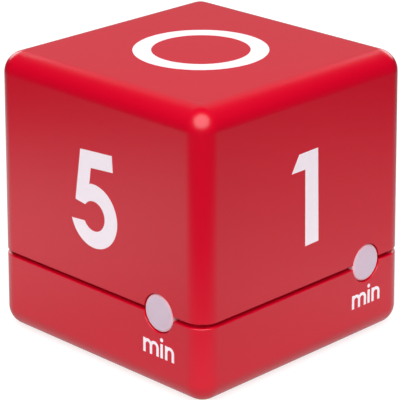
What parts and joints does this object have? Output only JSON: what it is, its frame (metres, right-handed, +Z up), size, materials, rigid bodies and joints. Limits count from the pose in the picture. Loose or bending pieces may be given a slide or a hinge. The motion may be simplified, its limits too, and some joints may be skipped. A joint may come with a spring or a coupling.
{
  "type": "kitchen timer",
  "caption": "Cube-shaped gravity kitchen timer: a two-part case with light windows in its seam, large numerals on its faces, and a display, a volume switch and a battery door underneath.",
  "frame": {"origin": "middle of the base shell's outer face, on the table", "axes": "+Z up through the zero face; -Y out of the front face, +X out of the right face, as seen from the front"},
  "size_m": [0.064, 0.064, 0.064],
  "materials": {
    "red_plastic": "satin",
    "milky_plastic": "milky, translucent",
    "clear_plastic": "clear, polished",
    "black_plastic": "satin",
    "white_plastic": "satin",
    "display_glass": "grey-green liquid crystal glass",
    "silver_film": "satin film",
    "grey_rubber": "matte",
    "board_green": "solder resist over glass fibre laminate",
    "black_epoxy": "cast epoxy",
    "red_epoxy": "clear red epoxy",
    "ferrite": "dark, matte",
    "steel": "nickel plated",
    "brass": "rolled sheet",
    "ceramic": "silvered, matte",
    "cell_label": null,
    "red_wire": "insulated wire"
  },
  "bodies": {
    "case": {"base_shell": "red_plastic", "battery_cell_1": "cell_label", "battery_cell_2": "cell_label", "board_header": "black_plastic", "board_screw_1": "steel", "board_screw_2": "steel", "board_screw_3": "steel", "board_screw_4": "steel", "boost_coil": "ferrite", "buzzer_ceramic": "ceramic", "buzzer_disc": "brass", "buzzer_wire_black": "black_plastic", "buzzer_wire_red": "red_wire", "capacitor": "black_plastic", "case_screw_1": "steel", "case_screw_2": "steel", "case_screw_3": "steel", "case_screw_4": "steel", "chip_blob": "black_epoxy", "contact_bridge": "steel", "contact_negative": "steel", "contact_positive": "steel", "contact_spring_1": "steel", "contact_spring_2": "steel", "display_board": "board_green", "display_lens": "clear_plastic", "lamp_front": "red_epoxy", "lamp_left": "red_epoxy", "lamp_rear": "red_epoxy", "lamp_right": "red_epoxy", "lcd_frame": "white_plastic", "lcd_panel": "display_glass", "lcd_reflector": "silver_film", "light_window_front": "milky_plastic", "light_window_left": "milky_plastic", "light_window_rear": "milky_plastic", "light_window_right": "milky_plastic", "main_board": "board_green", "quartz_crystal": "steel", "switch_body": "steel", "tilt_can_a": "steel", "tilt_can_b": "steel", "tilt_can_c": "steel", "tilt_plug_a": "black_plastic", "tilt_plug_b": "black_plastic", "tilt_plug_c": "black_plastic", "transistor": "black_epoxy", "upper_shell": "red_plastic", "zebra_strip": "grey_rubber"},
    "door": {"battery_door": "red_plastic"},
    "switch_slide": {"volume_knob": "black_plastic", "switch_lever": "black_plastic"},
    "ball_a": {"tilt_ball_a": "steel"},
    "ball_b": {"tilt_ball_b": "steel"},
    "ball_c": {"tilt_ball_c": "steel"}
  },
  "joints": [
    {"name": "battery_door_hinge", "type": "hinge", "parent": "case", "child": "door", "pos_m": [-0.0248, -0.00972, 0.0002], "axis": [0, 1, 0], "range_deg": [0, 75]},
    {"name": "volume_slide", "type": "slide", "parent": "case", "child": "switch_slide", "axis": [1, 0, 0], "range_m": [0, 0.003]},
    {"name": "tilt_a_roll", "type": "slide", "parent": "case", "child": "ball_a", "axis": [0.7071, 0.7071, 0], "range_m": [0, 0.0027]},
    {"name": "tilt_b_roll", "type": "slide", "parent": "case", "child": "ball_b", "axis": [0.7071, -0.7071, 0], "range_m": [0, 0.0027]},
    {"name": "tilt_c_roll", "type": "slide", "parent": "case", "child": "ball_c", "axis": [0, 0, 1], "range_m": [0, 0.0027]}
  ]
}
